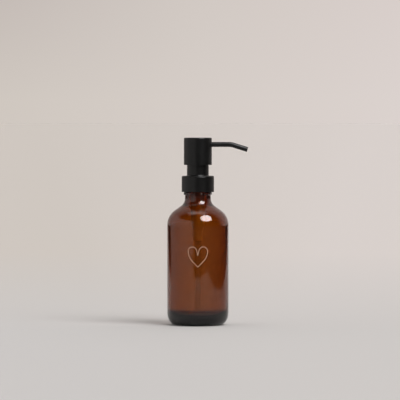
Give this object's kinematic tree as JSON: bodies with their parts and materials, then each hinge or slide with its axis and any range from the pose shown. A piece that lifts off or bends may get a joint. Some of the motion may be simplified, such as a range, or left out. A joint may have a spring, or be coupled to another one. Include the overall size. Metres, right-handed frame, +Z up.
{
  "type": "soap pump dispenser",
  "caption": "Amber glass boston-round bottle with a matte black steel-clad lotion pump: screw-on collar, press-down swivelling head and slim bent nozzle.",
  "frame": {"origin": "centre of the bottle's foot, on the surface that it stands on", "axes": "+Z up along the bottle and pump, +X along the nozzle, -Y is the front with the printed heart"},
  "size_m": [0.0815, 0.0618, 0.188],
  "materials": {
    "amber_glass": "clear amber, gloss",
    "heart_ink": "pale screen-printed ink",
    "black_steel": "matte black coating on drawn stainless steel",
    "black_plastic": "moulded, satin",
    "white_plastic": "natural polypropylene",
    "clear_plastic": "translucent polyethylene",
    "grey_rubber": "soft seal",
    "spring_steel": "drawn stainless wire"
  },
  "bodies": {
    "bottle": {"glass_bottle": "amber_glass", "heart_print": "heart_ink"},
    "pump_engine": {"pump_housing": "white_plastic", "stem_guide": "black_plastic", "stem_wiper": "grey_rubber", "dip_tube": "clear_plastic", "ball_cage": "white_plastic", "neck_gasket": "grey_rubber"},
    "closure": {"collar_shell": "black_steel", "threaded_cap": "black_plastic"},
    "inlet_valve": {"inlet_ball": "spring_steel"},
    "plunger": {"stem": "black_plastic", "valve_rod": "white_plastic", "return_spring": "spring_steel"},
    "piston_ring": {"piston": "clear_plastic"},
    "head": {"head_shell": "black_steel", "actuator_core": "black_plastic", "nozzle_tube": "black_steel", "nozzle_liner": "black_plastic"}
  },
  "joints": [
    {"name": "pump_lift", "type": "slide", "parent": "bottle", "child": "pump_engine", "axis": [0, 0, 1], "range_m": [0, 0.00635]},
    {"name": "collar_unscrew", "type": "hinge", "parent": "pump_engine", "child": "closure", "pos_m": [0, 0, 0.1416], "axis": [0, 0, 1], "range_deg": [0, 540]},
    {"name": "pump_press", "type": "slide", "parent": "pump_engine", "child": "plunger", "axis": [0, 0, -1], "range_m": [0, 0.0104], "stiffness_N_per_m": 900, "springref_m": -0.0078, "deforming": ["return_spring"]},
    {"name": "head_swivel", "type": "hinge", "parent": "plunger", "child": "head", "pos_m": [0, 0, 0.174], "axis": [0, 0, 1], "continuous": true},
    {"name": "piston_lag", "type": "slide", "parent": "plunger", "child": "piston_ring", "axis": [0, 0, 1], "range_m": [0, 0.0009]},
    {"name": "inlet_ball_lift", "type": "slide", "parent": "pump_engine", "child": "inlet_valve", "axis": [0, 0, 1], "range_m": [0, 0.0019]}
  ],
  "couplings": [
    {"joint": "collar_unscrew", "follows": "pump_lift", "rad_per_m": 1484.3}
  ]
}
